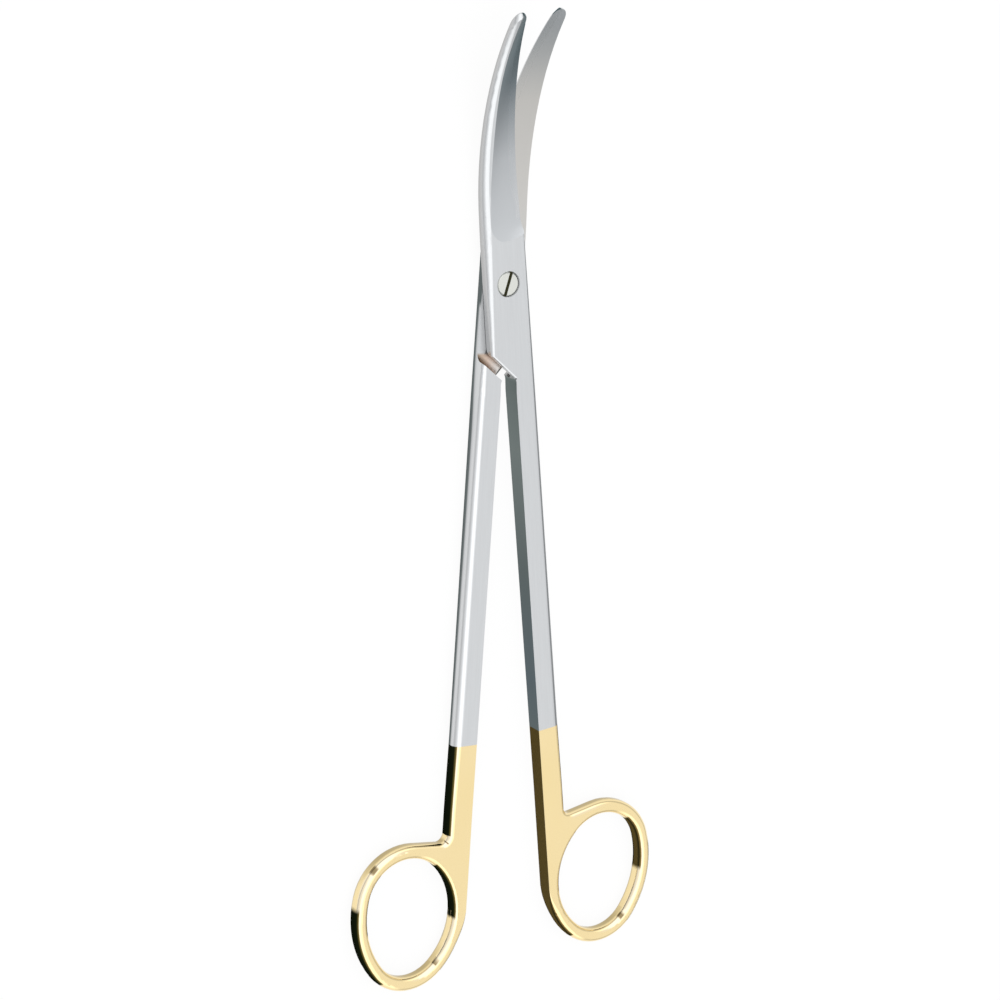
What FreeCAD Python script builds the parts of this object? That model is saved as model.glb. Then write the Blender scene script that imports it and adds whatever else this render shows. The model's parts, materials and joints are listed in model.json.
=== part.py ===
# Curved surgical scissors with ring handles, lying flat with the blades curving up.
# Two forged halves cross in a lap joint and turn on one slotted screw.
# Each half carries a hard insert brazed along its cutting edge.
#
# Each half is drawn closed, in its own frame: the screw's axis is x = y = 0, the blade
# points along +Y, the ring lies towards -Y and +X, and the plane between the two halves
# is z = 0. The front half lies above that plane at the joint, and the back half below.
# Both are then turned apart to the rest pose and moved to the model's origin, which is
# the middle of the underside of the whole.
import FreeCAD, Part
import math
import os
from FreeCAD import Vector

# Rest pose: each half is turned this far from closed, in degrees
REST_HALF_ANGLE = 4.3

# Stock and lap
JOINT_THICKNESS = 4.9
LAP_GAP = 0.12

# Lap plate, from the foot of the blade to the top of the shank
PLATE_TOP = 10.0
PLATE_SPINE = 5.4
PLATE_EDGE = 5.2
PLATE_EDGE_RADIUS = 0.5
PLATE_SPINE_AT_HEEL = 5.65
HEEL = 15.9
CROTCH_X = 0.42
CROTCH_Y = -22.6
CROTCH_RADIUS = 2.2
SPINE_RADIUS = 1.7
SPINE_RADIUS_AT_SHANK = 0.45
HEEL_EDGE_RADIUS = 0.5
HEEL_RELIEF_RADIUS = 1.2

# Shoulder, where the shank takes its full thickness
SHOULDER_X = 5.17
SHOULDER_Y = -18.46
SHOULDER_SLOPE = 37.8
SHOULDER_COVE_RADIUS = 1.8

# Shank: flat above, below and inside, with a rounded outer side
SHANK_TOP = -26.0
SHANK_SWELL = -108.0
SHANK_END = -126.0
SHANK_INNER_TOP = 0.25
SHANK_INNER_END = 0.5
SHANK_OUTER_TOP = 5.9
SHANK_OUTER_END = 6.68
SHANK_TOP_RADIUS = 1.5
SHANK_SWELL_RADIUS = 1.95
SHANK_END_THICKNESS = 4.1

# Finger ring: an oval of four arcs, of a flattened round stock as thick as the shank's end
RING_TOP_X = 16.6
RING_TOP_Y = -147.2
RING_TOP_RADIUS = 12.2
RING_FOOT_X = 15.15
RING_FOOT_Y = -157.6
RING_FOOT_RADIUS = 10.75
RING_INNER_SIDE_RADIUS = 18.7
RING_OUTER_SIDE_RADIUS = 23.75
RING_WIDTH = 3.4
RING_EDGE_RADIUS = 1.6

# Flat web between the shank and the ring
RING_CROTCH_SLOPE = 5.0
RING_CROTCH_RADIUS = 1.8
WEB_HOLE_SETBACK = 0.45
WEB_SIDE_SWEEP = 22.0
WEB_SIDE_EDGE_START = 0.12

# Blade
BLADE_TIP = 63.5
BLADE_TIP_X = -0.55
CURVE_START = 17.7
CURVE_RADIUS = 73.4
TIP_SPINE = 2.35
TIP_EDGE = 1.15
TIP_THICKNESS = 1.6
SPINE_TAPER_POWER = 1.43
EDGE_TAPER_POWER = 1.8
TIP_ROUND_RADIUS = 2.0
TIP_ROUND_LENGTH = 3.2
TIP_FLARE_ANGLE = 14.0

# Ground face of the blade, from the ridge beside the spine down to the cutting edge
GRIND_START = 8.9
GRIND_RUN_IN = 5.5
GRIND_HOLLOW = 0.2
GRIND_LIFT = 0.6
RIDGE_INSET = 1.7
RIDGE_SWELL = 0.6
EDGE_LAND = 1.0
TIP_EDGE_LAND = 0.3

# Insert
INSERT_START = 12.5
INSERT_WIDTH = 1.9
INSERT_THICKNESS = 1.05
TIP_INSERT_THICKNESS = 0.65

# Screw
SCREW_HEAD_DIAMETER = 5.8
SCREW_HEAD_HEIGHT = 1.1
SCREW_HEAD_RECESS = 0.15
SCREW_HEAD_CHAMFER = 0.35
SCREW_SHANK_DIAMETER = 3.2
SCREW_RUNNING_CLEARANCE = 0.05
SCREW_HEAD_CLEARANCE = 0.12
SLOT_WIDTH = 0.8
SLOT_DEPTH = 0.8
SLOT_ANGLE = 18.6

HALF_JOINT = JOINT_THICKNESS / 2
INNER_FACE = LAP_GAP / 2
FAR = 60.0
LEAST_LINE = 1e-5


def line(a, b):
    return Part.LineSegment(a, b).toShape()


def rounded_wire(corners, place):
    """Closed wire through (a, b, radius) corners, each rounded by its radius."""
    count = len(corners)
    starts = []
    ends = []
    middles = []
    for index, (a, b, radius) in enumerate(corners):
        before = corners[index - 1]
        after = corners[(index + 1) % count]
        corner = Vector(a, b, 0)
        back = (Vector(before[0], before[1], 0) - corner).normalize()
        ahead = (Vector(after[0], after[1], 0) - corner).normalize()
        half = back.getAngle(ahead) / 2
        reach = radius / math.tan(half)
        inward = (back + ahead).normalize()
        starts.append(corner + back * reach)
        ends.append(corner + ahead * reach)
        middles.append(corner + inward * (radius / math.sin(half) - radius))
    edges = []
    for index in range(count):
        if corners[index][2] > 0:
            bend = Part.Arc(*[place(p.x, p.y) for p in (starts[index], middles[index], ends[index])])
            edges.append(bend.toShape())
        following = starts[(index + 1) % count]
        if (following - ends[index]).Length > LEAST_LINE:
            edges.append(line(place(ends[index].x, ends[index].y), place(following.x, following.y)))
    return Part.Wire(edges)


def prism(corners, low, high):
    """Upright prism over (x, y, radius) corners, from low to high."""
    face = Part.Face(rounded_wire(corners, lambda a, b: Vector(a, b, low)))
    return face.extrude(Vector(0, 0, high - low))


def loft(stations, corners_at, place_at):
    """Smooth solid through one rounded section at each station along Y."""
    wires = [rounded_wire(corners_at(y), place_at(y)) for y in stations]
    return Part.makeLoft(wires, True, False)


def taper(corners_at, place_at, start, end):
    """Straight bar between two rounded sections: flat faces, and a bend at each rounded corner."""
    first = rounded_wire(corners_at(start), place_at(start))
    second = rounded_wire(corners_at(end), place_at(end))
    faces = [Part.Face(first), Part.Face(second)]
    for a, b in zip(first.Edges, second.Edges):
        if isinstance(a.Curve, Part.Line):
            corners = [a.Vertexes[0], a.Vertexes[-1], b.Vertexes[-1], b.Vertexes[0], a.Vertexes[0]]
            faces.append(Part.Face(Part.makePolygon([v.Point for v in corners])))
        else:
            faces.append(Part.makeRuledSurface(a, b))
    return Part.makeSolid(Part.makeShell(faces))


def spread(start, end, count):
    return [start + (end - start) * i / (count - 1) for i in range(count)]


def along(y):
    """Share of the blade's length at y, from 0 at its foot to 1 at its tip."""
    return max(0.0, (y - PLATE_TOP) / (BLADE_TIP - PLATE_TOP))


def rise(y):
    """Height of the middle surface, which is flat and then bends up along an arc."""
    run = max(0.0, y - CURVE_START)
    return CURVE_RADIUS - math.sqrt(CURVE_RADIUS ** 2 - run ** 2)


def spine(y):
    return PLATE_SPINE - (PLATE_SPINE - TIP_SPINE) * along(y) ** SPINE_TAPER_POWER


def edge(y):
    return PLATE_EDGE - (PLATE_EDGE - TIP_EDGE) * along(y) ** EDGE_TAPER_POWER


def thickness(y):
    """Height of the outer face over the middle surface."""
    return HALF_JOINT - (HALF_JOINT - TIP_THICKNESS) * along(y)


def ridge(y):
    swell = RIDGE_SWELL * math.sin(math.pi * min(1.0, along(y) * 1.25)) ** 2
    return -spine(y) + RIDGE_INSET + swell


def land(y):
    """Height of the cutting edge's land over the middle surface."""
    return TIP_EDGE_LAND + (EDGE_LAND - TIP_EDGE_LAND) * (1 - min(1.0, along(y))) ** 1.5


def insert_top(y):
    return INSERT_THICKNESS - (INSERT_THICKNESS - TIP_INSERT_THICKNESS) * along(y)


def shank_share(y):
    return (SHANK_TOP - y) / (SHANK_TOP - SHANK_END)


def shank_inner(y):
    return SHANK_INNER_TOP + (SHANK_INNER_END - SHANK_INNER_TOP) * shank_share(y)


def shank_outer(y):
    return SHANK_OUTER_TOP + (SHANK_OUTER_END - SHANK_OUTER_TOP) * shank_share(y)


def shank_thickness(y):
    return JOINT_THICKNESS + (SHANK_END_THICKNESS - JOINT_THICKNESS) * shank_share(y)


def ring_edge_radius():
    """Rounding of the ring's stock, which its width and its thickness limit."""
    return min(RING_EDGE_RADIUS, 0.48 * RING_WIDTH, 0.48 * SHANK_END_THICKNESS)


def shank_edge_radius(y):
    """Rounding of the shank's outer side, largest at the swell."""
    if y > SHANK_SWELL:
        share = (SHANK_TOP - y) / (SHANK_TOP - SHANK_SWELL)
        radius = SHANK_TOP_RADIUS + (SHANK_SWELL_RADIUS - SHANK_TOP_RADIUS) * share
    else:
        share = (SHANK_SWELL - y) / (SHANK_SWELL - SHANK_END)
        radius = SHANK_SWELL_RADIUS + (ring_edge_radius() - SHANK_SWELL_RADIUS) * share
    return min(radius, 0.48 * shank_thickness(y))


def blade_place(y, lap):
    """Maps a section's (x, height) to the blade's curved middle surface at y."""
    return lambda x, height: Vector(x, y, rise(y) + lap * height)


def ground_height(x, y):
    """Height of the ground face over the middle surface."""
    across = (x - ridge(y)) / (edge(y) - ridge(y))
    top = thickness(y)
    full = top + (land(y) - top) * across - 4 * GRIND_HOLLOW * across * (1 - across)
    depth = min(1.0, max(0.0, (y - GRIND_START) / GRIND_RUN_IN))
    depth = depth * depth * (3 - 2 * depth)
    lifted = top + GRIND_LIFT * (0.1 + (x / PLATE_EDGE) ** 2)
    return lifted + (full - lifted) * depth


def grinding_tool(lap):
    """Everything outside the blade's ground face."""
    rows = []
    full_depth = GRIND_START + GRIND_RUN_IN
    run_in = spread(GRIND_START - 1.0, full_depth + 1.0, 8)
    stations = run_in + spread(full_depth + 1.0, BLADE_TIP + 3.0, 9)[1:]
    for y in stations:
        reach = edge(y) - ridge(y)
        row = []
        for share in spread(-0.2, 1.2, 5):
            x = ridge(y) + reach * share
            row.append(Vector(x, y, rise(y) + lap * ground_height(x, y)))
        rows.append(row)
    surface = Part.BSplineSurface()
    surface.interpolate(rows)
    return surface.toShape().extrude(Vector(0, 0, lap * 12.0))


def tip_tool(lap):
    """Everything beyond the rounded tip, which is an ellipse that flares backwards."""
    slope = math.atan2(BLADE_TIP - CURVE_START, CURVE_RADIUS - rise(BLADE_TIP))
    ahead = Vector(0, math.cos(slope), math.sin(slope))
    flare = math.radians(TIP_FLARE_ANGLE)
    apex = Vector(0, TIP_ROUND_LENGTH, 0)
    shoulder = Vector(TIP_ROUND_RADIUS, 0, 0)
    back = Vector(TIP_ROUND_RADIUS + 14 * math.tan(flare), -14, 0)
    round_end = Part.Ellipse(apex, shoulder, Vector(0, 0, 0))
    arc = round_end.toShape(0, math.pi / 2)
    ends = arc.Vertexes[0].Point, arc.Vertexes[-1].Point
    foot = Vector(0, -14, 0)
    wire = Part.Wire([arc, line(ends[1], back), line(back, foot), line(foot, ends[0])])
    bullet = Part.Face(wire).revolve(Vector(0, 0, 0), Vector(0, 1, 0), 360)
    bullet.rotate(Vector(0, 0, 0), Vector(1, 0, 0), math.degrees(slope))
    end = Vector(BLADE_TIP_X, BLADE_TIP, rise(BLADE_TIP))
    bullet.translate(end - ahead * TIP_ROUND_LENGTH)
    room = Part.makeBox(24, 16, 30, Vector(-12, BLADE_TIP - 7, rise(BLADE_TIP) - 15))
    return room.cut(bullet)


def make_blade(lap):
    def corners(y):
        top = thickness(y)
        edge_radius = PLATE_EDGE_RADIUS * (1 - 0.7 * along(y))
        spine_radius = min(SPINE_RADIUS, 0.72 * (top - INNER_FACE))
        return [
            (-spine(y), INNER_FACE, 0),
            (edge(y), INNER_FACE, 0),
            (edge(y), top, edge_radius),
            (-spine(y), top, spine_radius),
        ]

    stations = spread(PLATE_TOP, BLADE_TIP + 1.0, 9)
    blank = loft(stations, corners, lambda y: blade_place(y, lap))
    return blank.cut(grinding_tool(lap)).cut(tip_tool(lap))


def insert_seat(lap):
    """Space of the insert: a strip along the cutting edge, from the inner face outwards."""
    def corners(y):
        near = edge(y) - INSERT_WIDTH
        far = edge(y) + 1.0
        return [(near, -0.5, 0), (far, -0.5, 0), (far, insert_top(y), 0), (near, insert_top(y), 0)]

    stations = spread(INSERT_START, BLADE_TIP + 1.0, 9)
    return loft(stations, corners, lambda y: blade_place(y, lap))


def edges_where(shape, wanted):
    """Edges of a shape whose every vertex passes a test."""
    return [e for e in shape.Edges if all(wanted(v.Point) for v in e.Vertexes)]


def shoulder_tool(lap):
    """Space for the other half's plate, with a rounded edge that leaves the cove."""
    size = FAR
    tool = Part.makeBox(2 * size, size, size, Vector(-size, 0, INNER_FACE - size))
    crest = edges_where(tool, lambda p: abs(p.y) < 1e-6 and abs(p.z - INNER_FACE) < 1e-6)
    tool = tool.makeFillet(SHOULDER_COVE_RADIUS, crest)
    tool.rotate(Vector(0, 0, 0), Vector(0, 0, 1), SHOULDER_SLOPE)
    tool.translate(Vector(SHOULDER_X, SHOULDER_Y, 0))
    return tool if lap > 0 else tool.mirror(Vector(0, 0, 0), Vector(0, 0, 1))


def heel_tool(lap, level, radius, inward):
    """Rounds the heel's edge at a level; inward is 1 if the metal lies above it, else -1."""
    heel = Vector(-PLATE_SPINE_AT_HEEL, -HEEL, level)
    crotch = Vector(CROTCH_X, CROTCH_Y, level)
    length = (crotch - heel).Length
    square = Part.makeBox(length + radius, 2 * radius, 2 * radius, Vector(-radius, -radius, -radius))
    axis = Vector(-2 * radius, radius, inward * radius)
    rod = Part.makeCylinder(radius, length + 4 * radius, axis, Vector(1, 0, 0))
    tool = square.cut(rod)
    turn = math.degrees(math.atan2(crotch.y - heel.y, crotch.x - heel.x))
    tool.rotate(Vector(0, 0, 0), Vector(0, 0, 1), turn)
    tool.translate(heel)
    return tool if lap > 0 else tool.mirror(Vector(0, 0, 0), Vector(0, 0, 1))


def plate_side(y):
    """How far the plate's spine side lies from the middle line, in line with its heel."""
    share = (PLATE_TOP - y) / (PLATE_TOP + HEEL)
    return PLATE_SPINE + (PLATE_SPINE_AT_HEEL - PLATE_SPINE) * share


def heel_line(x):
    """Height of the heel's slanted wall at x, which runs down to the crotch."""
    slope = (-HEEL - CROTCH_Y) / (-PLATE_SPINE_AT_HEEL - CROTCH_X)
    return CROTCH_Y + slope * (x - CROTCH_X)


def make_joint(lap):
    """Lap plate and shoulder of one half, from the blade's foot to the top of the shank."""
    def corners(y):
        at_shank = y < 0
        outer = shank_outer(y) if at_shank else PLATE_EDGE
        outer_radius = shank_edge_radius(y) if at_shank else PLATE_EDGE_RADIUS
        spine_radius = SPINE_RADIUS_AT_SHANK if at_shank else SPINE_RADIUS
        return [
            (-plate_side(y), -HALF_JOINT, 0),
            (outer, -HALF_JOINT, outer_radius),
            (outer, HALF_JOINT, outer_radius),
            (-plate_side(y), HALF_JOINT, spine_radius),
        ]

    def place_at(y):
        return lambda x, height: Vector(x, y, lap * height)

    bar = taper(corners, place_at, SHANK_TOP, PLATE_TOP)
    side = 2 * PLATE_EDGE
    plan = prism([
        (shank_inner(SHANK_TOP), SHANK_TOP, 0),
        (side, SHANK_TOP, 0),
        (side, PLATE_TOP, 0),
        (-side, PLATE_TOP, 0),
        (-side, heel_line(-side), 0),
        (CROTCH_X, CROTCH_Y, CROTCH_RADIUS),
    ], -FAR, FAR)
    joint = bar.common(plan).cut(shoulder_tool(lap))
    joint = joint.cut(heel_tool(lap, INNER_FACE, HEEL_RELIEF_RADIUS, 1))
    return joint.cut(heel_tool(lap, HALF_JOINT, HEEL_EDGE_RADIUS, -1))


def make_shank():
    def corners(y):
        half = shank_thickness(y) / 2
        inner = shank_inner(y)
        outer = shank_outer(y)
        radius = shank_edge_radius(y)
        return [(inner, -half, 0), (inner, half, 0), (outer, half, radius), (outer, -half, radius)]

    def place_at(y):
        return lambda x, height: Vector(x, y, height)

    upper = taper(corners, place_at, SHANK_TOP, SHANK_SWELL)
    return upper.fuse(taper(corners, place_at, SHANK_SWELL, SHANK_END))


def ring_arcs():
    """Centre, radius, start and sweep of the ring's four arcs, each tangent to the next."""
    top = Vector(RING_TOP_X, RING_TOP_Y, 0)
    foot = Vector(RING_FOOT_X, RING_FOOT_Y, 0)
    apart = (top - foot).Length
    ahead = (top - foot).normalize()

    def side_centre(radius, sideways):
        to_top = radius - RING_TOP_RADIUS
        to_foot = radius - RING_FOOT_RADIUS
        up = (to_foot ** 2 - to_top ** 2 + apart ** 2) / (2 * apart)
        return foot + ahead * up + sideways * math.sqrt(to_foot ** 2 - up ** 2)

    right = Vector(ahead.y, -ahead.x, 0)
    outer = side_centre(RING_OUTER_SIDE_RADIUS, right * -1)
    inner = side_centre(RING_INNER_SIDE_RADIUS, right)

    def arc(centre, radius, start, end):
        first = math.degrees(math.atan2(start.y, start.x))
        last = math.degrees(math.atan2(end.y, end.x))
        return centre, radius, first, (last - first) % 360

    return [
        arc(outer, RING_OUTER_SIDE_RADIUS, foot - outer, top - outer),
        arc(top, RING_TOP_RADIUS, top - outer, top - inner),
        arc(inner, RING_INNER_SIDE_RADIUS, top - inner, foot - inner),
        arc(foot, RING_FOOT_RADIUS, foot - inner, foot - outer),
    ]


def make_ring():
    """Closed ring: the rounded section of the stock, turned about each arc's centre."""
    wide = RING_WIDTH / 2
    high = SHANK_END_THICKNESS / 2
    bend = ring_edge_radius()
    section = [(-wide, -high, bend), (wide, -high, bend), (wide, high, bend), (-wide, high, bend)]
    parts = []
    for centre, radius, start, sweep in ring_arcs():
        angle = math.radians(start)
        outward = Vector(math.cos(angle), math.sin(angle), 0)

        def place(across, height):
            return centre + outward * (radius + across) + Vector(0, 0, height)

        face = Part.Face(rounded_wire(section, place))
        parts.append(face.revolve(centre, Vector(0, 0, 1), sweep))
    return parts[0].fuse(parts[1:]).removeSplitter()


def ring_prism(offset, half_height):
    """Upright prism over the ring's oval, grown by an offset."""
    edges = []
    for centre, radius, start, sweep in ring_arcs():
        points = []
        for share in (0, 0.5, 1):
            angle = math.radians(start + sweep * share)
            outward = Vector(math.cos(angle), math.sin(angle), 0)
            points.append(centre + outward * (radius + offset) - Vector(0, 0, half_height))
        edges.append(Part.Arc(*points).toShape())
    return Part.Face(Part.Wire(edges)).extrude(Vector(0, 0, 2 * half_height))


def make_web():
    """Flat web that joins the shank to the ring, in line with the ring's own outline."""
    half = SHANK_END_THICKNESS / 2
    reach = RING_WIDTH / 2
    top, top_radius = ring_arcs()[1][:2]
    side, side_radius = ring_arcs()[2][:2]

    slope = math.radians(RING_CROTCH_SLOPE)
    touch = top + Vector(-math.sin(slope), math.cos(slope), 0) * (top_radius + reach)
    outer = shank_outer(SHANK_END)
    crotch_y = touch.y - (touch.x - outer) * math.tan(slope)

    bend = side_radius + reach
    shank_foot = Vector(shank_inner(SHANK_END), SHANK_END, 0)
    to_centre = side - shank_foot
    lean = math.asin(bend / to_centre.Length) - math.atan2(to_centre.x, -to_centre.y)
    sweep = math.radians(WEB_SIDE_SWEEP)
    run = math.sqrt(to_centre.Length ** 2 - bend ** 2) + bend * math.tan((sweep + lean) / 2)
    corner = shank_foot + Vector(-math.sin(lean), -math.cos(lean), 0) * run
    bend_start = side + Vector(-math.cos(lean), math.sin(lean), 0) * bend
    bend_end = side + Vector(-math.cos(sweep), -math.sin(sweep), 0) * bend
    upper = prism([
        (outer, SHANK_END, 0),
        (outer, crotch_y, RING_CROTCH_RADIUS),
        (touch.x, touch.y, 0),
        (top.x, top.y, 0),
        (side.x, side.y, 0),
        (bend_start.x, bend_start.y, 0),
        (shank_foot.x, shank_foot.y, 0),
    ], -half, half)
    lower = prism([
        (side.x, side.y, 0),
        (bend_end.x, bend_end.y, 0),
        (corner.x, corner.y, bend),
        (bend_start.x, bend_start.y, 0),
    ], -half, half)

    def on_outer_side(edge):
        points = [v.Point for v in edge.Vertexes]
        level = all(abs(p.z - points[0].z) < 1e-6 for p in points)
        return level and all(p.x > outer - 1e-6 and p.y > crotch_y - 1e-6 for p in points)

    upper = upper.makeFillet(ring_edge_radius(), [e for e in upper.Edges if on_outer_side(e)])
    bends = [e for e in lower.Edges if abs(e.Length - bend * (sweep + lean)) < 1e-3]
    lower = lower.makeFillet(0.95 * ring_edge_radius(), WEB_SIDE_EDGE_START, bends)
    web = upper.fuse(lower)
    return web.cut(ring_prism(-WEB_HOLE_SETBACK, FAR))


def screw_hole(lap):
    """Holes for the screw: a running fit and a counterbore in front, a close fit behind."""
    radius = SCREW_SHANK_DIAMETER / 2
    if lap < 0:
        return Part.makeCylinder(radius, JOINT_THICKNESS, Vector(0, 0, -JOINT_THICKNESS))
    bore = Part.makeCylinder(radius + SCREW_RUNNING_CLEARANCE, JOINT_THICKNESS)
    seat = HALF_JOINT - SCREW_HEAD_RECESS - SCREW_HEAD_HEIGHT - SCREW_RUNNING_CLEARANCE
    counterbore = Part.makeCylinder(
        SCREW_HEAD_DIAMETER / 2 + SCREW_HEAD_CLEARANCE, JOINT_THICKNESS, Vector(0, 0, seat)
    )
    return bore.fuse(counterbore)


def make_screw():
    top = HALF_JOINT - SCREW_HEAD_RECESS
    under_head = Vector(0, 0, top - SCREW_HEAD_HEIGHT)
    head = Part.makeCylinder(SCREW_HEAD_DIAMETER / 2, SCREW_HEAD_HEIGHT, under_head)
    rim = [e for e in head.Edges if all(abs(v.Z - top) < 1e-6 for v in e.Vertexes)]
    head = head.makeChamfer(SCREW_HEAD_CHAMFER, rim)
    shank = Part.makeCylinder(SCREW_SHANK_DIAMETER / 2, top - 0.5 + HALF_JOINT, Vector(0, 0, -HALF_JOINT))
    slot = Part.makeBox(
        SLOT_WIDTH, 2 * SCREW_HEAD_DIAMETER, SLOT_DEPTH + 1,
        Vector(-SLOT_WIDTH / 2, -SCREW_HEAD_DIAMETER, top - SLOT_DEPTH),
    )
    slot.rotate(Vector(0, 0, 0), Vector(0, 0, 1), -SLOT_ANGLE)
    return head.fuse(shank).cut(slot).removeSplitter()


def make_half(lap):
    """One forging and its insert, closed; lap is 1 for the front half and -1 for the back."""
    blade = make_blade(lap)
    seat = insert_seat(lap)
    insert = blade.common(seat)
    forging = blade.cut(seat)
    forging = forging.fuse([make_joint(lap), make_shank(), make_web(), make_ring()])
    forging = forging.cut(screw_hole(lap)).removeSplitter()
    return forging, insert


def at_rest(shape, lap):
    """Mirrors the back half's pieces and turns a half to the rest pose."""
    if lap < 0:
        shape = shape.mirror(Vector(0, 0, 0), Vector(1, 0, 0))
    shape.rotate(Vector(0, 0, 0), Vector(0, 0, 1), lap * REST_HALF_ANGLE)
    return shape


def main():
    nodes = {}
    for name, lap in (("front", 1), ("back", -1)):
        forging, insert = make_half(lap)
        nodes[name + "_half"] = at_rest(forging, lap)
        nodes[name + "_insert"] = at_rest(insert, lap)
    nodes["pivot_screw"] = make_screw()

    box = Part.makeCompound(list(nodes.values())).optimalBoundingBox(False)
    shift = Vector(-(box.XMin + box.XMax) / 2, -(box.YMin + box.YMax) / 2, -box.ZMin)
    os.makedirs("parts", exist_ok=True)
    for name, shape in nodes.items():
        shape.translate(shift)
        solids = shape.Solids
        shape = solids[0] if len(solids) == 1 else shape
        shape.exportStep("parts/" + name + ".step")
        print(name, "solids", len(solids), "valid", shape.isValid(), "volume", round(shape.Volume, 2))
    print("pivot at", [round(v, 4) for v in shift])
    print("size", round(box.XLength, 3), round(box.YLength, 3), round(box.ZLength, 3))


main()
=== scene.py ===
import json
import math

import bpy
from mathutils import Matrix, Vector


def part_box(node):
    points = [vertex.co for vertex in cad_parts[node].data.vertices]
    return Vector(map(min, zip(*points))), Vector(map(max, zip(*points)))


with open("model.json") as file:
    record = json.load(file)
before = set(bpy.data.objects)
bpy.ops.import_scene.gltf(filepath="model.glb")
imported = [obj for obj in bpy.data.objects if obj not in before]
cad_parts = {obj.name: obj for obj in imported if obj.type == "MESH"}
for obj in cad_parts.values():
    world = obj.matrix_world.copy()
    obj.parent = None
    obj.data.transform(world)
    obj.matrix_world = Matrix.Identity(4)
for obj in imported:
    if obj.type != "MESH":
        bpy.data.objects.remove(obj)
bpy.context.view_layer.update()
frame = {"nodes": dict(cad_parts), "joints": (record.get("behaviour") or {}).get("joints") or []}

bl_info = {
    "name": "Surgical Scissors Finish",
    "version": (1, 0, 0),
    "blender": (4, 5, 0),
    "location": "3D View > Sidebar > Scissors",
    "description": "Dresses curved surgical scissors in satin steel and polished gold plate",
    "category": "Object",
}

# Lengths are in metres and angles in radians, and places on a half are counted from the screw
PIVOT = Vector(frame["joints"][0]["pos_m"])
REST_HALF_ANGLE = math.radians(4.3)

# Where a region starts and where it is full, or, with END in the name, where it fades and is gone

# Places along the half, towards its tip
BLADE_FOOT = (0.0088, 0.0096)
GROUND_FOOT_END = (0.016, 0.020)
LAP_SIDE_START = (-0.006, -0.004)

# Places along the half, towards its ring
SHOULDER = (0.0160, 0.0168)
SHANK_TOP = (0.021, 0.023)
LAP_TONE_END = (0.012, 0.036)
PLATING_EDGE = 0.0001

# Distance from the screw's axis, and height counted from the joint
OFF_SCREW = (0.0031, 0.0033)
COVE_HEIGHT_END = (0.0019, 0.0023)

# Lengths over which the tones of painted shade run
BLADE_TONES_START = 0.010
BLADE_TONES_LENGTH = 0.0535
SHANK_TONES_LENGTH = 0.115
COVE_TONES_WIDTH = 0.0055

# How far a face leans one way, where 1 faces fully that way
GROUND_LEAN = (0.05, 0.12)
GROUND_LEAN_END = (0.92, 0.98)
FOOT_LEAN = (0.02, 0.08)
INNER_FLAT = (0.6, 0.9)
SIDE_END = (0.35, 0.7)
DOWN_END = (0.9, 0.98)
BAND_LEAN = (0.06, 0.2)
BAND_LEAN_END = (0.5, 0.7)
BAND_TOP = (0.6, 0.8)
RIM_LEAN = (0.2, 0.5)
RIM_TOP = (0.0, 0.3)
UPRIGHT_END = (0.25, 0.6)
INNER_SIDE_LEAN = (0.5, 0.85)
LAP_SIDE_LEAN = (0.4, 0.8)
COVE_LEAN_END = (0.05, 0.25)
COVE_FLAT = (0.1, 0.3)
OUTLINE_UNDER = (0.02, 0.2)

# On the back half's sides the painted shade also lightens with height, and is lighter at the lap
WALL_TOP = 0.001
WALL_TONE_RISE = 180.0
LAP_TONE_RISE = 0.15

# How much of the steel is covered by painted shade and painted highlights, and by the matt finish,
# where the key 1 is the front half and -1 the back half
HIGHLIGHT_BAND_SHARES = {1: 0.3, -1: 0.6}
RIM_SHARE = 0.9
INNER_SIDE_SHARE = 0.95
MATT_SHARE = 0.9

# Grain of the steel, in cells to the metre, and its finish
GRAIN_ACROSS = 3000.0
GRAIN_ALONG = 90.0
GRAIN_DETAIL = 3.0
GRAIN_DULL = 0.95
GRAIN_BRIGHT = 1.05
GRAIN_ROUGHNESS = 0.08
GRAIN_BUMP = 0.15
GRAIN_DEPTH = 0.00001
HALF_ROUGHNESS = 0.26
INSERT_ROUGHNESS = 0.22
INSERT_STEEL = (0.62, 0.63, 0.64, 1.0)

# Gold plate and its painted highlight, shade and reflections: clouds in cells to the metre, and
# directions in the rest pose
PLATE_SMOOTHING = 0.2
CLOUD_CELLS = 60.0
PALE_SHARES = (1.03, 1.05, 1.2)
LEVEL_LEAST = 0.0001
DARK_DIRECTION = (0.94, -0.342)
DARK_REACH = (0.865, 0.895)
DARK_END = (0.80, 0.87)
CREAM_DIRECTION = (-0.55, 0.38, 0.74)
CREAM_REACH = (0.80, 0.93)
CREAM_END = (0.93, 0.985)
CREAM_SHARE = 0.8
FAR_REACH = (0.4, 0.9)
FAR_END = (-0.1, 0.4)
BELOW_REACH = (-0.05, 0.5)
BROWN_SHARE = 0.75
STREAK_DIRECTION = (-0.67, 0.74)
STREAK_REACH = (0.993, 0.9975)
STREAK_START = (0.15, 0.3)
STREAK_END = (0.86, 0.95)
STREAK_SHARE = 0.85

# Screw, with painted shade on its head's rim and in its slot
SCREW_GRAIN = 2500.0
SCREW_DULL = (0.68, 0.69, 0.65, 1.0)
SCREW_BRIGHT = (0.76, 0.77, 0.73, 1.0)
SCREW_RIM = (0.30, 0.30, 0.28, 1.0)
SCREW_RIM_LEAN = (0.2, 0.6)
SCREW_RIM_END = (0.8, 0.95)
SCREW_RIM_SHARE = 0.6
SCREW_ROUGHNESS = 0.28
SLOT_PAINTED_SHADE = (0.11, 0.11, 0.06, 1.0)
SLOT_ANGLE = math.radians(18.6)
SLOT_END = (0.00043, 0.00047)
SLOT_LIP = 0.0001
SLOT_MATT = 0.8
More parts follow.
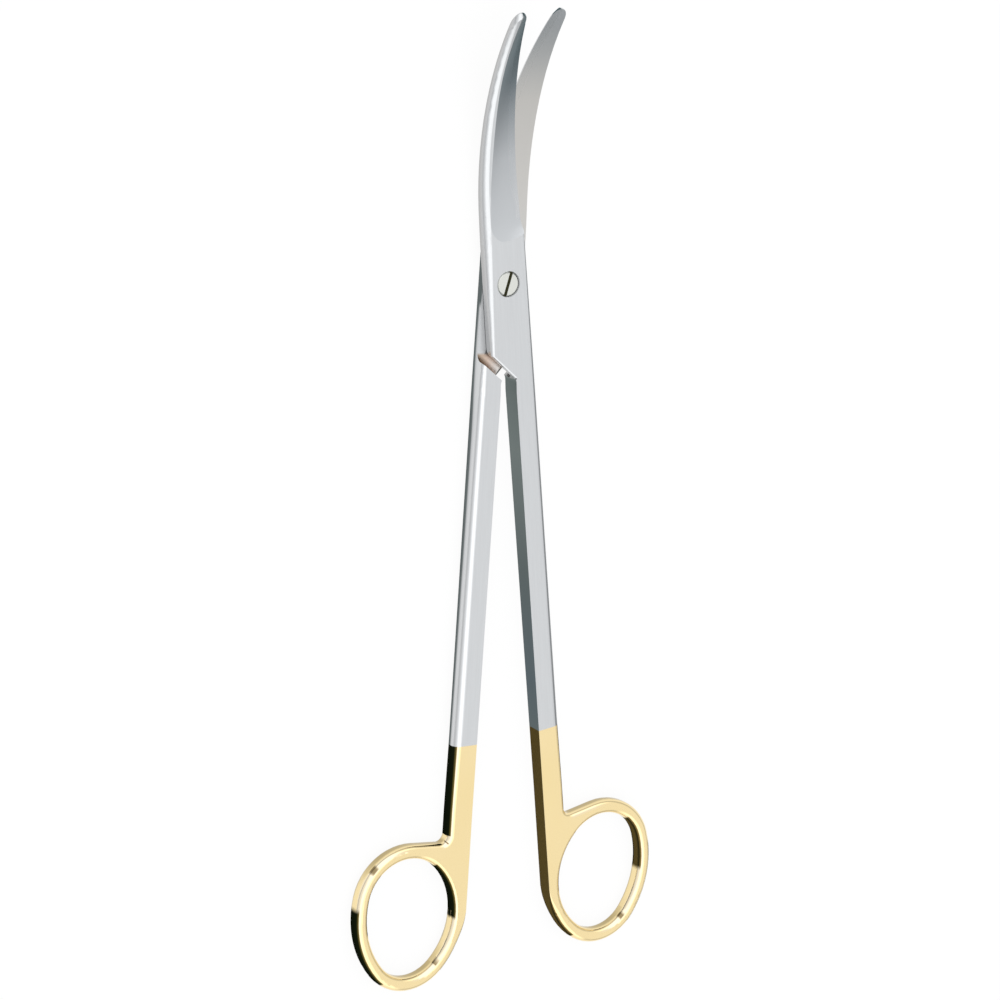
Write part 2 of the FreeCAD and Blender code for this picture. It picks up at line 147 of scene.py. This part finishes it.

# Colours of painted light on the steel and on the gold plate: rim shade, edge highlight, shadow on the
# lap wall, brown shade, thin brown reflections, a pale highlight, and tones of shade in the cove
PAINTED_RIM_SHADE = (0.16, 0.17, 0.18, 1.0)
PAINTED_HIGHLIGHT_BAND = (0.82, 0.83, 0.84, 1.0)
LAP_SIDE = (0.10, 0.12, 0.12, 1.0)
PAINTED_BROWN_SHADE = (0.30, 0.23, 0.10, 1.0)
PAINTED_STREAK_REFLECTION = (0.15, 0.095, 0.02, 1.0)
PAINTED_CREAM_HIGHLIGHT = (0.90, 0.80, 0.62, 1.0)
COVE_TONES = (
    (0.0, (0.80, 0.76, 0.73)),
    (0.5, (0.70, 0.56, 0.47)),
    (1.0, (0.50, 0.38, 0.28)),
)
# Tones of painted shade on the shank's inner wall, from the screw towards the ring
INNER_WALL_PAINTED_SHADE_TONES = (
    (0.2, (0.085, 0.115, 0.11)),
    (0.35, (0.12, 0.15, 0.145)),
    (0.6, (0.06, 0.085, 0.085)),
    (0.85, (0.045, 0.075, 0.09)),
    (1.0, (0.06, 0.09, 0.09)),
)
# Tones of painted shade on the blade's ground face, towards the tip
FACET_PAINTED_SHADE_TONES = (
    (0.0, (0.59, 0.61, 0.63)),
    (0.35, (0.49, 0.51, 0.53)),
    (0.70, (0.175, 0.21, 0.23)),
    (1.0, (0.06, 0.10, 0.11)),
)
# Tones of painted shade on the blade's inner face, towards the tip
INNER_FACE_PAINTED_SHADE_TONES = (
    (0.0, (0.60, 0.59, 0.57)),
    (0.6, (0.52, 0.51, 0.49)),
    (1.0, (0.31, 0.34, 0.36)),
)

# Tones of painted shade on the sides and of painted dark reflections on the gold, from a face that
# looks down, at 0, to one that looks up, at 1, with keys 1 for the front half and -1 for the back half
SIDE_PAINTED_SHADE_TONES = {
    1: (
        (0.2, (0.20, 0.21, 0.21)),
        (0.5, (0.48, 0.48, 0.48)),
        (0.85, (0.62, 0.63, 0.64)),
    ),
    -1: (
        (0.3, (0.08, 0.10, 0.10)),
        (0.47, (0.12, 0.14, 0.14)),
        (0.55, (0.50, 0.51, 0.52)),
        (0.65, (0.62, 0.63, 0.64)),
        (0.85, (0.66, 0.67, 0.68)),
    ),
}
PAINTED_DARK_REFLECTION_TONES = {
    1: (
        (0.2, (0.02, 0.02, 0.01)),
        (0.42, (0.01, 0.01, 0.004)),
        (0.47, (0.085, 0.06, 0.018)),
        (0.6, (0.085, 0.06, 0.018)),
        (0.8, (0.01, 0.01, 0.004)),
        (0.93, (0.30, 0.20, 0.06)),
    ),
    -1: (
        (0.2, (0.10, 0.085, 0.03)),
        (0.36, (0.004, 0.006, 0.003)),
        (0.8, (0.006, 0.008, 0.003)),
        (0.88, (0.10, 0.08, 0.02)),
        (0.93, (0.30, 0.20, 0.06)),
    ),
}

# Stage
FLOOR_CORNERS = 96
FLOOR_RADIUS = 1.5
PAPER = (0.95, 0.95, 0.95, 1.0)
WHITE = (1.0, 1.0, 1.0, 1.0)
PAPER_GLOW = 0.93
ROOM_LIGHT = 0.62
SKY_LIGHT = 0.36
BOX_LIGHT = 0.45
SKY_RISE = (0.15, 0.5)
FRONT_REACH = (0.5, 0.8)
BOX_START = (-0.36, -0.2)
BOX_END = (0.45, 0.8)
BACK_REACH = (0.5, 0.75)

# Camera: its turns about X, Y and Z, its distance, and scale and place of the screw in its square frame
CAMERA_TILT = 0.2762
CAMERA_TURN = 0.5617
CAMERA_ROLL = 0.0014
CAMERA_DISTANCE = 1 / 1.4
FRAME_PIXELS = 1000
PIXELS_PER_METRE = 4386.9
SCREW_PIXEL = (502.958, 282.421)
SENSOR_WIDTH = 36.0


def material_of(name):
    """New empty node material of that name."""
    material = bpy.data.materials.get(name) or bpy.data.materials.new(name)
    material.use_nodes = True
    material.node_tree.nodes.clear()
    return material


class Value:
    """A socket that takes part in sums written as Python expressions."""

    def __init__(self, sheet, socket):
        self.sheet = sheet
        self.socket = socket

    def math(self, operation, *others):
        inputs = [self] + list(others)
        return self.sheet.node("ShaderNodeMath", {"operation": operation}, dict(enumerate(inputs)))

    def __add__(self, other):
        return self.math("ADD", other)

    def __radd__(self, other):
        return self.math("ADD", other)

    def __sub__(self, other):
        return self.math("SUBTRACT", other)

    def __rsub__(self, other):
        return self.math("MULTIPLY", -1.0).math("ADD", other)

    def __mul__(self, other):
        return self.math("MULTIPLY", other)

    def __rmul__(self, other):
        return self.math("MULTIPLY", other)

    def __truediv__(self, other):
        return self.math("DIVIDE", other)

    def __neg__(self):
        return self.math("MULTIPLY", -1.0)

    def __pow__(self, other):
        return self.math("POWER", other)

    def size(self):
        return self.math("ABSOLUTE")

    def largest(self, other):
        return self.math("MAXIMUM", other)

    def smallest(self, other):
        return self.math("MINIMUM", other)

    def step(self, low, high):
        """0 below low, 1 above high, smooth between."""
        return self.sheet.node(
            "ShaderNodeMapRange",
            {"interpolation_type": "SMOOTHSTEP"},
            {"Value": self, "From Min": low, "From Max": high},
        )

    def fade(self, low, high):
        """1 below low, 0 above high, smooth between."""
        return 1.0 - self.step(low, high)


class Sheet:
    """The node tree of a material or of the world, with short ways to add to it."""

    def __init__(self, tree):
        self.tree = tree

    def node(self, kind, settings=None, inputs=None, output=0):
        """Adds a node, sets it up, feeds its sockets and gives back one output."""
        new = self.tree.nodes.new(kind)
        for key, value in (settings or {}).items():
            if key == "stops":
                self.set_stops(new.color_ramp, value)
            else:
                setattr(new, key, value)
        for key, value in (inputs or {}).items():
            socket = new.inputs[key]
            if isinstance(value, Value):
                self.tree.links.new(value.socket, socket)
            else:
                socket.default_value = value
        return Value(self, new.outputs[output]) if new.outputs else None

    @staticmethod
    def set_stops(ramp, stops):
        while len(ramp.elements) < len(stops):
            ramp.elements.new(1.0)
        for element, (place, colour) in zip(ramp.elements, stops):
            element.position = place
            element.color = colour

    def ramp(self, value, stops):
        """Colour that runs through stops as a value goes from 0 to 1."""
        full = [(place, tuple(colour) + (1.0,)) for place, colour in stops]
        return self.node("ShaderNodeValToRGB", {"stops": full}, {0: value})

    def vector(self, x, y, z):
        return self.node("ShaderNodeCombineXYZ", None, {0: x, 1: y, 2: z})

    def mix(self, share, first, second):
        """Colour between two others."""
        return self.node(
            "ShaderNodeMix",
            {"data_type": "RGBA"},
            {0: share, 6: first, 7: second},
            output=2,
        )

    def place(self):
        return self.node("ShaderNodeTexCoord", output="Object")

    def facing(self):
        return self.node("ShaderNodeTexCoord", output="Normal")

    def outputs(self, value):
        """All outputs of the node that a value comes from, by name."""
        return {key: Value(self, socket) for key, socket in value.socket.node.outputs.items()}

    def parts(self, vector):
        """X, Y and Z of a vector."""
        split = self.outputs(self.node("ShaderNodeSeparateXYZ", None, {0: vector}))
        return split["X"], split["Y"], split["Z"]

    def noise(self, vector, scale, detail=2.0):
        inputs = {"Vector": vector, "Scale": scale, "Detail": detail}
        return self.node("ShaderNodeTexNoise", None, inputs)

    def metal(self, colour, roughness, metallic, bump=None):
        """Principled metal to the material's output, with no gloss where metallic falls to 0."""
        inputs = {
            "Base Color": colour,
            "Roughness": roughness,
            "Metallic": metallic,
            "Specular IOR Level": 0.0,
        }
        if bump is not None:
            bump_inputs = {"Strength": GRAIN_BUMP, "Distance": GRAIN_DEPTH, "Height": bump}
            inputs["Normal"] = self.node("ShaderNodeBump", None, bump_inputs)
        shader = self.node("ShaderNodeBsdfPrincipled", None, inputs)
        self.node("ShaderNodeOutputMaterial", None, {"Surface": shader})


def scaled(colour, share):
    """Lighter or darker form of a colour."""
    return tuple(min(1.0, part * share) for part in colour[:3]) + (1.0,)


def towards(parts, direction):
    """How far a vector of those parts points in a direction."""
    first, *others = [part * share for part, share in zip(parts, direction)]
    return sum(others, first)


def turned(x, y, lap):
    """Across and along in a half's own closed frame; lap is 1 in front and -1 behind."""
    cosine = math.cos(REST_HALF_ANGLE)
    sine = math.sin(REST_HALF_ANGLE) * lap
    return (x * cosine + y * sine) * lap, y * cosine - x * sine


class HalfSurface:
    """Place and facing on one half, in its own closed frame, and the regions it is made of."""

    def __init__(self, sheet, lap):
        self.lap = lap
        centred = sheet.node(
            "ShaderNodeVectorMath", {"operation": "SUBTRACT"}, {0: sheet.place(), 1: tuple(PIVOT)}
        )
        x, y, self.height = sheet.parts(centred)
        self.across, self.along = turned(x, y, lap)
        self.ringward = -self.along
        self.rest_facing = sheet.parts(sheet.facing())
        x, y, self.face_up = self.rest_facing
        self.face_across, self.face_along = turned(x, y, lap)
        self.face_inward = self.face_up * -lap

        from_axis = (self.across * self.across + self.along * self.along) ** 0.5
        self.off_screw = from_axis.step(*OFF_SCREW)
        self.on_blade = self.along.step(*BLADE_FOOT)
        self.on_shank = self.ringward.step(*SHANK_TOP)
        self.upright = self.face_up.size().fade(*UPRIGHT_END)

        foot = self.face_along.step(*FOOT_LEAN) * self.along.fade(*GROUND_FOOT_END)
        ground = self.face_across.step(*GROUND_LEAN).largest(foot) * self.on_blade
        self.ground = ground * self.face_across.fade(*GROUND_LEAN_END)
        side = self.face_up.fade(*SIDE_END) * (-self.face_up).fade(*DOWN_END)
        self.side = side * (1.0 - self.ground) * self.off_screw
        self.inner_side = (-self.face_across).step(*INNER_SIDE_LEAN) * self.upright * self.on_shank

    def scaled_place(self, sheet, cells_across, cells_along):
        """Place in cells of a pattern, so many to the metre."""
        return sheet.vector(
            self.across * cells_across, self.along * cells_along, self.height * cells_across
        )


def satin(sheet, surface, steel):
    """Steel with a fine grain along the half: its colour and its grain."""
    place = surface.scaled_place(sheet, GRAIN_ACROSS, GRAIN_ALONG)
    grain = sheet.noise(place, 1.0, GRAIN_DETAIL)
    return sheet.mix(grain, scaled(steel, GRAIN_DULL), scaled(steel, GRAIN_BRIGHT)), grain


def blade_painted_shade(sheet, surface, colour):
    """Painted shade on the ground face and inner face of the blade, darker towards the tip."""
    share = (surface.along - BLADE_TONES_START) * (1 / BLADE_TONES_LENGTH)
    colour = sheet.mix(surface.ground, colour, sheet.ramp(share, FACET_PAINTED_SHADE_TONES))
    inner = surface.face_inward.step(*INNER_FLAT) * surface.on_blade * (1.0 - surface.ground)
    return sheet.mix(inner, colour, sheet.ramp(share, INNER_FACE_PAINTED_SHADE_TONES))


def side_painted_shade_and_highlight(sheet, surface, colour):
    """Painted shade on the sides from top to underside, a painted bright stripe above them and painted
    shade on the front half's rim.
    """
    # Painted shade of the sides, darker where they face down
    upward = surface.face_up * 0.5 + 0.5
    if surface.lap < 0:
        upward = upward + surface.height.smallest(WALL_TOP) * WALL_TONE_RISE
        upward = upward + surface.ringward.fade(*LAP_TONE_END) * LAP_TONE_RISE
    colour = sheet.mix(surface.side, colour, sheet.ramp(upward, SIDE_PAINTED_SHADE_TONES[surface.lap]))

    # Painted highlight: a bright stripe on rounded edges that lean a little sideways near the top
    leaning = surface.face_across * -surface.lap
    painted_edge_highlight = leaning.step(*BAND_LEAN) * leaning.fade(*BAND_LEAN_END) * surface.face_up.step(*BAND_TOP)
    painted_edge_highlight = painted_edge_highlight * (1.0 - surface.ground) * surface.off_screw
    colour = sheet.mix(painted_edge_highlight * HIGHLIGHT_BAND_SHARES[surface.lap], colour, PAINTED_HIGHLIGHT_BAND)
    # Painted shade on the front half's outer rim, off the blade
    if surface.lap > 0:
        rim = surface.face_across.step(*RIM_LEAN) * surface.face_up.step(*RIM_TOP)
        rim = rim * surface.off_screw * (1.0 - surface.on_blade)
        colour = sheet.mix(rim * RIM_SHARE, colour, PAINTED_RIM_SHADE)
    return colour


def wall_painted_shade(sheet, surface, colour):
    """Painted shade: dark inner wall of the shank and dark wall of the lap plate."""
    # Painted shade on the shank's inner wall, changing in tone towards the ring
    inner_wall_shade = sheet.ramp(surface.ringward * (1 / SHANK_TONES_LENGTH), INNER_WALL_PAINTED_SHADE_TONES)
    colour = sheet.mix(surface.inner_side * INNER_SIDE_SHARE, colour, inner_wall_shade)
    # Painted shadow on the wall of the lap plate
    lap_wall_painted_shadow = surface.face_across.step(*LAP_SIDE_LEAN) * surface.upright
    lap_wall_painted_shadow = lap_wall_painted_shadow * surface.along.step(*LAP_SIDE_START) * (1.0 - surface.on_blade)
    return sheet.mix(lap_wall_painted_shadow * surface.off_screw, colour, LAP_SIDE)


def cove_painted_shade(sheet, surface, colour):
    """Painted shade in the cove at the shoulder, warm and paler towards the crotch."""
    cove = surface.ringward.step(*SHOULDER) * (1.0 - surface.on_shank)
    cove = cove * (surface.height * -surface.lap).fade(*COVE_HEIGHT_END)
    cove = cove * surface.face_across.fade(*COVE_LEAN_END) * surface.face_inward.step(*COVE_FLAT)
    return sheet.mix(cove, colour, sheet.ramp(surface.across * (1 / COVE_TONES_WIDTH), COVE_TONES))


def steel_grain_and_painted_light(sheet, surface, steel):
    """Satin steel grain with painted shade and highlights on its blade, sides, walls and cove: colour,
    grain and how matt it is.
    """
    colour, grain = satin(sheet, surface, steel)
    for shades in (blade_painted_shade, side_painted_shade_and_highlight, wall_painted_shade, cove_painted_shade):
        colour = shades(sheet, surface, colour)
    outline = surface.side * (-surface.face_up).step(*OUTLINE_UNDER) * (1.0 - surface.inner_side)
    bore_wall = (1.0 - surface.off_screw) * surface.upright
    return colour, grain, outline.largest(bore_wall) * MATT_SHARE


def gold_and_painted_reflections(sheet, surface, gold):
    """Polished gold plate with painted highlights, reflections and shade, and where it is painted dark:
    near black sideways, brown at its far walls.
    """
    x, y, z = surface.rest_facing
    cloud = sheet.noise(surface.scaled_place(sheet, CLOUD_CELLS, CLOUD_CELLS), 1.0)
    pale = tuple(min(1.0, part * share) for part, share in zip(gold[:3], PALE_SHARES)) + (1.0,)
    colour = sheet.mix(cloud, tuple(gold), pale)

    # Painted highlight, pale, on faces that lean up and to one side
    painted_gold_highlight = towards((x, y, z), CREAM_DIRECTION).step(*CREAM_REACH) * z.fade(*CREAM_END)
    colour = sheet.mix(painted_gold_highlight * CREAM_SHARE, colour, PAINTED_CREAM_HIGHLIGHT)

    level = (x * x + y * y) ** 0.5 + LEVEL_LEAST
    # Painted shade, brown, on far walls and undersides
    far_wall_shade = (y / level).step(*FAR_REACH) * z.fade(*FAR_END)
    below = (-z).step(*BELOW_REACH) * (-z).fade(*DOWN_END)
    colour = sheet.mix(far_wall_shade.largest(below) * BROWN_SHARE, colour, PAINTED_BROWN_SHADE)

    # Painted reflections: thin brown lines where the face points in one direction
    painted_streak = (towards((x, y), STREAK_DIRECTION) / level).step(*STREAK_REACH)
    painted_streak = painted_streak * z.step(*STREAK_START) * z.fade(*STREAK_END)
    colour = sheet.mix(painted_streak * STREAK_SHARE, colour, PAINTED_STREAK_REFLECTION)

    # Painted reflections: near black where the face looks sideways
    sideways = towards((x.size(), y), DARK_DIRECTION) / level
    dark = sideways.step(*DARK_REACH) * z.size().fade(*DARK_END)
    deep = sheet.ramp(z * 0.5 + 0.5, PAINTED_DARK_REFLECTION_TONES[surface.lap])
    return sheet.mix(dark, colour, deep), dark


def give(node_name, material):
    mesh = frame["nodes"][node_name].data
    mesh.materials.clear()
    mesh.materials.append(material)


class ScissorsSettings(bpy.types.PropertyGroup):
    """Sizes and colours of the scissors' finish."""

    plating_start: bpy.props.FloatProperty(
        name="Plating start",
        description="How far below the screw the gold plate begins",
        default=0.110,
        unit="LENGTH",
    )
    steel: bpy.props.FloatVectorProperty(
        name="Steel",
        description="Colour of the satin steel",
        subtype="COLOR",
        size=4,
        default=(0.63, 0.645, 0.66, 1.0),
    )
    gold: bpy.props.FloatVectorProperty(
        name="Gold",
        description="Colour of the gold plate",
        subtype="COLOR",
        size=4,
        default=(0.92, 0.74, 0.38, 1.0),
    )


class SCISSORS_OT_halves(bpy.types.Operator):
    """Gives both forgings their satin steel and gold plate, with painted shade, highlights and
    reflections
    """

    bl_idname = "scissors.halves"
    bl_label = "Finish the halves"

    def execute(self, context):
        settings = context.scene.scissors_finish
        start = settings.plating_start
        for name, lap in (("front_half", 1), ("back_half", -1)):
            material = material_of(name + "_finish")
            sheet = Sheet(material.node_tree)
            surface = HalfSurface(sheet, lap)
            plated = surface.ringward.step(start - PLATING_EDGE, start + PLATING_EDGE)
            steel, grain, matt = steel_grain_and_painted_light(sheet, surface, settings.steel)
            gold, dark = gold_and_painted_reflections(sheet, surface, settings.gold)
            colour = sheet.mix(plated, steel, gold)
            roughness = HALF_ROUGHNESS + grain * GRAIN_ROUGHNESS - plated * PLATE_SMOOTHING
            matt = plated * dark + (1.0 - plated) * matt
            sheet.metal(colour, roughness, 1.0 - matt, grain * (1.0 - plated))
            give(name, material)
        return {"FINISHED"}


class SCISSORS_OT_inserts(bpy.types.Operator):
    """Gives both hard inserts their fine ground finish, with painted shade and highlights"""

    bl_idname = "scissors.inserts"
    bl_label = "Finish the inserts"

    def execute(self, context):
        for name, lap in (("front_insert", 1), ("back_insert", -1)):
            material = material_of(name + "_finish")
            sheet = Sheet(material.node_tree)
            surface = HalfSurface(sheet, lap)
            colour, grain, matt = steel_grain_and_painted_light(sheet, surface, INSERT_STEEL)
            roughness = INSERT_ROUGHNESS + grain * GRAIN_ROUGHNESS
            sheet.metal(colour, roughness, 1.0 - matt, grain)
            give(name, material)
        return {"FINISHED"}


class SCISSORS_OT_screw(bpy.types.Operator):
    """Gives the screw its bright satin finish, with painted shade on the head's rim and in its slot"""

    bl_idname = "scissors.screw"
    bl_label = "Finish the screw"

    def execute(self, context):
        material = material_of("screw_finish")
        sheet = Sheet(material.node_tree)
        place = sheet.place()
        x, y, z = sheet.parts(place)
        face_x, face_y, face_z = sheet.parts(sheet.facing())
        grain = sheet.noise(place, SCREW_GRAIN, GRAIN_DETAIL)
        colour = sheet.mix(grain, SCREW_DULL, SCREW_BRIGHT)
        # Painted shade on the side of the screw head that leans along X
        rim = face_x.step(*SCREW_RIM_LEAN) * face_z.fade(*SCREW_RIM_END)
        colour = sheet.mix(rim * SCREW_RIM_SHARE, colour, SCREW_RIM)
        # Painted shade in the slot
        off_slot = (x - PIVOT.x) * math.cos(SLOT_ANGLE) - (y - PIVOT.y) * math.sin(SLOT_ANGLE)
        head_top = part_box("pivot_screw")[1][2]
        slot = off_slot.size().fade(*SLOT_END) * z.fade(head_top - SLOT_LIP, head_top)
        colour = sheet.mix(slot, colour, SLOT_PAINTED_SHADE)
        sheet.metal(colour, SCREW_ROUGHNESS, 1.0 - slot * SLOT_MATT)
        give("pivot_screw", material)
        return {"FINISHED"}


class SCISSORS_OT_stage(bpy.types.Operator):
    """Adds the floor, the soft light and the camera"""

    bl_idname = "scissors.stage"
    bl_label = "Set the stage"

    def execute(self, context):
        scene = context.scene
        scene.view_settings.view_transform = "Standard"
        self.add_floor()
        self.add_light(scene)
        self.add_camera(scene)
        return {"FINISHED"}

    @staticmethod
    def add_floor():
        """Plain paper that shows white, also in the metal."""
        bpy.ops.mesh.primitive_circle_add(
            vertices=FLOOR_CORNERS, radius=FLOOR_RADIUS, fill_type="NGON"
        )
        floor = bpy.context.object
        floor.name = "floor"
        material = material_of("floor_paper")
        sheet = Sheet(material.node_tree)
        paper = sheet.node("ShaderNodeBsdfDiffuse", None, {"Color": PAPER})
        glow = sheet.node("ShaderNodeEmission", None, {"Color": WHITE, "Strength": 1.0})
        rays = sheet.outputs(sheet.node("ShaderNodeLightPath"))
        seen = rays["Is Camera Ray"].largest(rays["Is Glossy Ray"])
        seen = seen.largest(rays["Is Transmission Ray"])
        shader = sheet.node("ShaderNodeMixShader", None, {0: seen * PAPER_GLOW, 1: paper, 2: glow})
        sheet.node("ShaderNodeOutputMaterial", None, {"Surface": shader})
        floor.data.materials.append(material)

    @staticmethod
    def add_light(scene):
        """Soft light all round, more from above, with one brighter box and a bright back."""
        world = bpy.data.worlds.new("studio")
        scene.world = world
        world.use_nodes = True
        world.node_tree.nodes.clear()
        sheet = Sheet(world.node_tree)
        x, y, z = sheet.parts(sheet.node("ShaderNodeTexCoord", output="Generated"))
        high = z.step(*SKY_RISE)
        front = (-y).step(*FRONT_REACH)
        box = (-x).step(*BOX_START) * (-x).fade(*BOX_END) * high.largest(front)
        back = y.step(*BACK_REACH) * high
        level = ROOM_LIGHT + SKY_LIGHT * high + BOX_LIGHT * box.largest(back)
        background = sheet.node("ShaderNodeBackground", None, {"Color": WHITE, "Strength": level})
        sheet.node("ShaderNodeOutputWorld", None, {"Surface": background})

    @staticmethod
    def add_camera(scene):
        """Camera at its distance from the screw, moved aside so that the screw has its place."""
        sight = (
            Matrix.Rotation(CAMERA_TILT, 3, "X")
            @ Matrix.Rotation(CAMERA_TURN, 3, "Y")
            @ Matrix.Rotation(CAMERA_ROLL, 3, "Z")
        )
        middle = FRAME_PIXELS / 2
        sideways = (middle - SCREW_PIXEL[0]) / PIXELS_PER_METRE
        upwards = (SCREW_PIXEL[1] - middle) / PIXELS_PER_METRE
        place = sight.transposed() @ Vector((sideways, upwards, CAMERA_DISTANCE)) + PIVOT
        data = bpy.data.cameras.new("camera")
        data.sensor_width = SENSOR_WIDTH
        data.lens = SENSOR_WIDTH * PIXELS_PER_METRE * CAMERA_DISTANCE / FRAME_PIXELS
        camera = bpy.data.objects.new("camera", data)
        camera.matrix_world = Matrix.Translation(place) @ sight.transposed().to_4x4()
        scene.collection.objects.link(camera)
        scene.camera = camera


OPERATORS = (SCISSORS_OT_halves, SCISSORS_OT_inserts, SCISSORS_OT_screw, SCISSORS_OT_stage)


class SCISSORS_PT_panel(bpy.types.Panel):
    """Lists the steps in the sidebar"""

    bl_idname = "SCISSORS_PT_panel"
    bl_label = "Scissors"
    bl_space_type = "VIEW_3D"
    bl_region_type = "UI"
    bl_category = "Scissors"

    def draw(self, context):
        settings = context.scene.scissors_finish
        for key in settings.bl_rna.properties.keys():
            if key not in ("rna_type", "name"):
                self.layout.prop(settings, key)
        for operator in OPERATORS:
            self.layout.operator(operator.bl_idname)


CLASSES = (ScissorsSettings,) + OPERATORS + (SCISSORS_PT_panel,)


def register():
    for each in CLASSES:
        bpy.utils.register_class(each)
    bpy.types.Scene.scissors_finish = bpy.props.PointerProperty(type=ScissorsSettings)


def unregister():
    del bpy.types.Scene.scissors_finish
    for each in reversed(CLASSES):
        bpy.utils.unregister_class(each)


def main():
    bpy.ops.object.select_all(action="DESELECT")
    register()
    bpy.ops.scissors.stage()
    bpy.ops.scissors.halves()
    bpy.ops.scissors.inserts()
    bpy.ops.scissors.screw()


if __name__ == "__main__":
    main()
